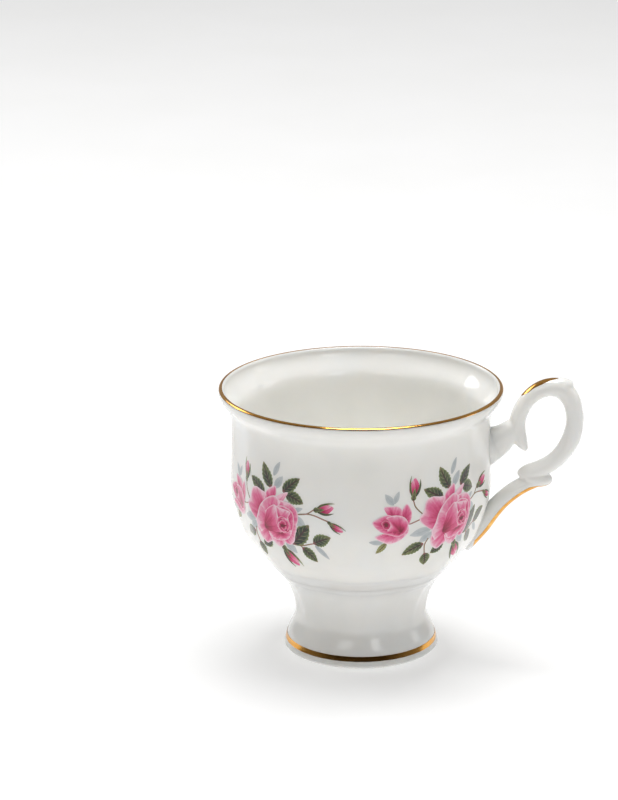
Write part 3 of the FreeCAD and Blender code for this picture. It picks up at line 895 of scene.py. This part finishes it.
def make_casting(name, limbs, nodes, voxel, rounds):
    """The limbs run together into one smooth skin that ends inside the bowl's wall."""
    work = bmesh.new()
    for stations in limbs:
        add_tube(work, limb_rings(stations, SPAN_STEPS * (len(stations) - 1)))
    bmesh.ops.recalc_face_normals(work, faces=work.faces)
    rough_mesh = bpy.data.meshes.new(name)
    work.to_mesh(rough_mesh)
    work.free()
    rough = bpy.data.objects.new(name, rough_mesh)
    bpy.context.scene.collection.objects.link(rough)
    skin = rough.modifiers.new("skin", "REMESH")
    skin.mode = "VOXEL"
    skin.voxel_size = voxel * MM
    soften = rough.modifiers.new("soften", "SMOOTH")
    soften.factor = 0.5
    soften.iterations = rounds
    graph = bpy.context.evaluated_depsgraph_get()
    mesh = bpy.data.meshes.new_from_object(rough.evaluated_get(graph))
    bpy.data.objects.remove(rough)
    for vertex in mesh.vertices:
        vertex.co = into_wall(vertex.co, DEPTH_IN_WALL * MM)
    mesh.shade_smooth()
    piece = new_object(name, mesh, CHINA)
    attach(piece, ROOT)
    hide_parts(*nodes)
    return piece


# The slip that blends each end of the handle into the wall, as sections of the same kind.
UPPER_JOINT = [
    (36.9, 64.4, 2.62, 1.56),
    (38.5, 64.8, 2.34, 1.40),
    (39.3, 65.0, 2.12, 1.24),
    (40.4, 65.5, 1.78, 1.04),
]
LOWER_JOINT = [
    (31.3, 35.8, 1.28, 1.46),
    (32.8, 37.0, 1.18, 1.30),
    (34.5, 38.5, 1.04, 1.16),
    (36.2, 39.9, 0.92, 1.00),
]

LIMBS = [UPPER_ARM, LOOP, KNUCKLE, COLLAR, LOWER_ARM]
HANDLE = make_casting("handle_casting", LIMBS, ["handle"], voxel=0.27, rounds=9)
make_casting("upper_joint", [UPPER_JOINT], ["handle_upper_slip_joint"], voxel=0.25, rounds=12)
make_casting("lower_joint", [LOWER_JOINT], ["handle_lower_slip_joint"], voxel=0.25, rounds=12)
HANDLE_TREE = surface_tree(HANDLE.data)


# ---------------------------------------------------------------- the handle's gold

GOLD_STEPS, GOLD_LANES = 60, 16  # divisions along and across a stripe
GOLD_LIFT = 0.05  # how far a stripe stands off the handle, and how far it sinks in
GOLD_TIP = 0.06  # least width of a stripe's pointed end, as a share of its full width
# The paths run just outside the handle's outline and keep the handle on their left.
UPPER_GOLD_PATH = [(58.0, 85.6), (54.8, 84.9), (51.9, 83.7), (49.3, 82.1), (47.3, 79.5)]
LOWER_GOLD_PATH = [
    (33.2, 32.2),
    (36.6, 35.5),
    (38.6, 38.0),
    (40.8, 41.2),
    (43.1, 44.1),
    (45.4, 46.4),
    (48.0, 48.5),
    (50.6, 50.1),
    (52.6, 50.8),
    (55.2, 51.6),
    (56.8, 52.6),
]


def closed_slab(name, top, bottom, material):
    """A closed thin piece between two grids of points."""
    rows, width = len(top), len(top[0])
    work = bmesh.new()
    upper = [[work.verts.new(point) for point in row] for row in top]
    lower = [[work.verts.new(point) for point in row] for row in bottom]
    for row in range(rows - 1):
        for column in range(width - 1):
            for grid in (upper, lower):
                near, far = grid[row], grid[row + 1]
                work.faces.new((near[column], near[column + 1], far[column + 1], far[column]))
    for row in range(rows - 1):
        for column in (0, width - 1):
            above, below = upper[row][column], lower[row][column]
            work.faces.new((above, upper[row + 1][column], lower[row + 1][column], below))
    for column in range(width - 1):
        for row in (0, rows - 1):
            above, below = upper[row], lower[row]
            work.faces.new((above[column], above[column + 1], below[column + 1], below[column]))
    mesh = bpy.data.meshes.new(name)
    close_mesh(work, mesh)
    piece = new_object(name, mesh, material)
    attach(piece, ROOT)
    return piece


def make_handle_gold(name, node, path, half_angle, taper):
    """A gold stripe that wraps the handle's outer side, along a path on its outline.

    Half_angle is how far it reaches to each side, and taper the shares of the path over which
    its two ends narrow.
    """
    line = curve_through([Vector((x, 0, z)) for x, z in path], GOLD_STEPS)
    top, bottom = [], []
    for index, point in enumerate(line):
        heading = (line[min(index + 1, GOLD_STEPS)] - line[max(index - 1, 0)]).normalized()
        inward = Vector((-heading.z, 0, heading.x))
        middle = (point + inward * (ARM_THICKNESS / 2)) * MM
        share = index / GOLD_STEPS
        narrow = min(1.0, share / taper[0], (1 - share) / taper[1])
        reach = math.radians(half_angle) * max(GOLD_TIP, math.sqrt(narrow))
        top_row, bottom_row = [], []
        for lane in range(GOLD_LANES + 1):
            turn = reach * (2 * lane / GOLD_LANES - 1)
            aim = inward * math.cos(turn) + Vector((0, math.sin(turn), 0))
            outside = middle - aim * (ARM_THICKNESS / 2 * MM)
            hit, normal = HANDLE_TREE.find_nearest(outside)[:2]
            top_row.append(hit + normal * (GOLD_LIFT * MM))
            bottom_row.append(hit - normal * (GOLD_LIFT * MM))
        top.append(top_row)
        bottom.append(bottom_row)
    piece = closed_slab(name, top, bottom, GOLD)
    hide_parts(node)


make_handle_gold("upper_gold", "handle_upper_gilding", UPPER_GOLD_PATH, 46, (0.4, 0.2))
make_handle_gold("lower_gold", "handle_lower_gilding", LOWER_GOLD_PATH, 72, (0.05, 0.3))


# ---------------------------------------------------------------- the joint of bowl and foot

JOINT_STEPS = 288  # sections round the cup
JOINT_TOP, JOINT_BOTTOM = 31.4, 24.4  # heights between which the glazed slip smooths the profile
JOINT_GAP_TOP, JOINT_GAP_BOTTOM = 28.4, 26.6  # the gap that it fills
JOINT_ROWS = 40
JOINT_BLUR = 8  # rows that each row is averaged with, above and below
JOINT_LIFT = 0.2  # how much further its middle stands out than its edges
JOINT_SUNK = 0.3  # share of that by which its edges lie inside the two pieces
JOINT_DEPTH, JOINT_INNER_RISE = 0.6, 0.3  # from its outer side to its inner side, inward and up


def surface_radius(tree, turn, height):
    """A surface's outermost radius in one direction, at a height, in millimetres."""
    outward = Vector((math.cos(turn), math.sin(turn), 0))
    hit = tree.ray_cast(outward * RAY_START + Vector((0, 0, height * MM)), -outward)[0]
    return math.hypot(hit.x, hit.y) / MM


def joint_profile(foot_tree, turn):
    """Radius and height of each row of the joint's outer side, in one direction."""
    above = surface_radius(WALL.tree, turn, JOINT_GAP_TOP)
    below = surface_radius(foot_tree, turn, JOINT_GAP_BOTTOM)
    heights = [mix(JOINT_TOP, JOINT_BOTTOM, row / JOINT_ROWS) for row in range(JOINT_ROWS + 1)]
    rough = []
    for height in heights:
        if height > JOINT_GAP_TOP:
            rough.append(surface_radius(WALL.tree, turn, height))
        elif height < JOINT_GAP_BOTTOM:
            rough.append(surface_radius(foot_tree, turn, height))
        else:
            share = (height - JOINT_GAP_BOTTOM) / (JOINT_GAP_TOP - JOINT_GAP_BOTTOM)
            rough.append(mix(below, above, share))
    profile = []
    for row, height in enumerate(heights):
        reach = min(JOINT_BLUR, row, JOINT_ROWS - row)
        nearby = rough[row - reach : row + reach + 1]
        fade = min(1.0, min(row, JOINT_ROWS - row) / JOINT_BLUR)
        profile.append((sum(nearby) / len(nearby) + JOINT_LIFT * (fade - JOINT_SUNK), height))
    return profile


def make_foot_joint():
    """The band of slip and glaze that smooths the step from the bowl to the foot."""
    foot_tree = surface_tree(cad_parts["foot"].data)
    work = bmesh.new()
    sections = []
    for step in range(JOINT_STEPS):
        turn = 2 * math.pi * step / JOINT_STEPS
        profile = joint_profile(foot_tree, turn)
        inside = [(radius - JOINT_DEPTH, height + JOINT_INNER_RISE) for radius, height in reversed(profile)]
        sections.append(
            [
                work.verts.new((radius * math.cos(turn) * MM, radius * math.sin(turn) * MM, height * MM))
                for radius, height in profile + inside
            ]
        )
    for section, following in zip(sections, sections[1:] + sections[:1]):
        for index in range(len(section)):
            after = (index + 1) % len(section)
            work.faces.new((section[index], section[after], following[after], following[index]))
    mesh = bpy.data.meshes.new("foot_joint")
    close_mesh(work, mesh)
    piece = new_object("foot_joint", mesh, CHINA)
    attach(piece, ROOT)
    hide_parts("foot_slip_joint")


make_foot_joint()


# ---------------------------------------------------------------- floor, light and camera

FLOOR_RADIUS = 6.0
LIGHT_TARGET = (0, 0, 0.05)  # the cup's middle
# The soft boxes: name, place, size, watts.
LIGHTS = [
    ("front_left", (-0.5, -1.0, 0.8), (0.6, 0.42), 1.7),
    ("front_right", (0.56, -0.98, 0.72), (0.34, 0.42), 1.4),
    ("back_left", (-0.75, 0.62, 0.62), (0.5, 0.35), 2.2),
    ("side_right", (1.05, 0.2, 0.4), (0.3, 0.5), 0.8),
    ("top", (0.05, 0.12, 1.25), (0.6, 0.6), 13.0),
]
ROOM_FRONT = (0.05, 0.045, 0.04, 1)  # the room's colour before the cup, and behind it
ROOM_BACK = (0.5, 0.5, 0.5, 1)
ROOM_STRENGTH = 0.7

def make_floor():
    work = bmesh.new()
    bmesh.ops.create_circle(work, cap_ends=True, segments=96, radius=FLOOR_RADIUS)
    mesh = bpy.data.meshes.new("floor")
    work.to_mesh(mesh)
    work.free()
    mesh.materials.append(floor_material())
    floor = bpy.data.objects.new("floor", mesh)
    bpy.context.scene.collection.objects.link(floor)


def make_light(name, place, size, power):
    """A soft box that faces the cup's middle."""
    data = bpy.data.lights.new(name, "AREA")
    data.shape = "RECTANGLE"
    data.size, data.size_y = size
    data.energy = power
    light = bpy.data.objects.new(name, data)
    light.location = place
    light.rotation_euler = (Vector(LIGHT_TARGET) - Vector(place)).to_track_quat("-Z", "Y").to_euler()
    bpy.context.scene.collection.objects.link(light)


def make_world():
    """A dim room, dark in front and lighter behind, so that gold shows dark reflections."""
    world = bpy.data.worlds.new("studio")
    world.use_nodes = True
    tree = world.node_tree
    place = tree.nodes.new("ShaderNodeTexCoord")
    split = tree.nodes.new("ShaderNodeSeparateXYZ")
    tree.links.new(place.outputs["Generated"], split.inputs[0])
    ramp = tree.nodes.new("ShaderNodeValToRGB")
    ramp.color_ramp.elements[0].position = 0.1
    ramp.color_ramp.elements[0].color = ROOM_FRONT
    ramp.color_ramp.elements[1].position = 0.8
    ramp.color_ramp.elements[1].color = ROOM_BACK
    towards = tree.nodes.new("ShaderNodeMapRange")
    towards.inputs["From Min"].default_value = -1
    towards.inputs["From Max"].default_value = 1
    tree.links.new(split.outputs["Y"], towards.inputs["Value"])
    tree.links.new(towards.outputs["Result"], ramp.inputs["Fac"])
    background = tree.nodes["Background"]
    tree.links.new(ramp.outputs["Color"], background.inputs["Color"])
    background.inputs["Strength"].default_value = ROOM_STRENGTH
    bpy.context.scene.world = world


CAMERA_DISTANCE = 0.922  # from the cup's axis, level
CAMERA_HEIGHT = 0.366
CAMERA_AZIMUTH = 2.0  # degrees towards the handle from straight in front
CAMERA_PITCH = 17.37  # degrees down
CAMERA_SHIFT = -0.065  # puts the cup right of the frame's middle
CAMERA_LENS = 147.24
CAMERA_SENSOR = 36


def make_camera():
    data = bpy.data.cameras.new("camera")
    data.lens = CAMERA_LENS
    data.sensor_width = CAMERA_SENSOR
    data.shift_x = CAMERA_SHIFT
    camera = bpy.data.objects.new("camera", data)
    turn = math.radians(CAMERA_AZIMUTH)
    camera.location = (CAMERA_DISTANCE * math.sin(turn), -CAMERA_DISTANCE * math.cos(turn), CAMERA_HEIGHT)
    camera.rotation_euler = (math.radians(90 - CAMERA_PITCH), 0, turn)
    bpy.context.scene.collection.objects.link(camera)
    bpy.context.scene.camera = camera


make_floor()
for light_name, light_place, light_size, light_power in LIGHTS:
    make_light(light_name, light_place, light_size, light_power)
make_world()
make_camera()
bpy.context.scene.view_settings.view_transform = "Standard"
